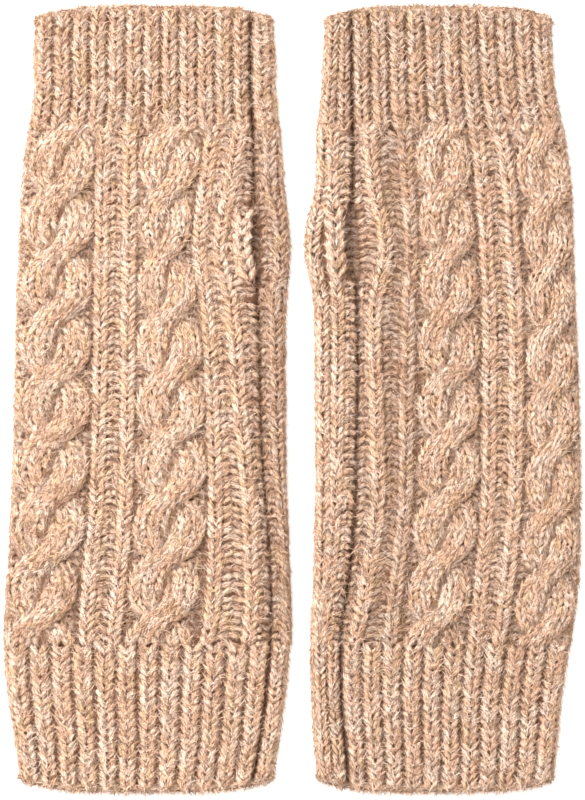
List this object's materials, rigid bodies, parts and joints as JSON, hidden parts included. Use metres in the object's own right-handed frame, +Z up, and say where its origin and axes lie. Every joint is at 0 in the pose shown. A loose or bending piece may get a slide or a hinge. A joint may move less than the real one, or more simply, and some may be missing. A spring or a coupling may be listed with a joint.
{
  "type": "pair of fingerless cable-knit mittens",
  "caption": "Pair of long fingerless cable-knit mittens, laid flat, each a seamed tube with ribbed cuffs, rope cables and an open thumb slit.",
  "frame": {"origin": "centre of the pair's box, on the surface that both mittens lie on", "axes": "+X across the pair from the first mitten to the second, +Y from the wrists to the fingers, +Z up"},
  "size_m": [0.2224, 0.3026, 0.0092],
  "materials": {
    "left_rib_wool": "fluffy marled wool",
    "left_cable_wool": "fluffy marled wool",
    "right_rib_wool": "fluffy marled wool",
    "right_cable_wool": "fluffy marled wool"
  },
  "bodies": {
    "root": {"left_finger_cuff": "left_rib_wool", "left_cable_hand": "left_cable_wool", "left_wrist_cuff": "left_rib_wool", "right_finger_cuff": "right_rib_wool", "right_cable_hand": "right_cable_wool", "right_wrist_cuff": "right_rib_wool"}
  },
  "joints": []
}
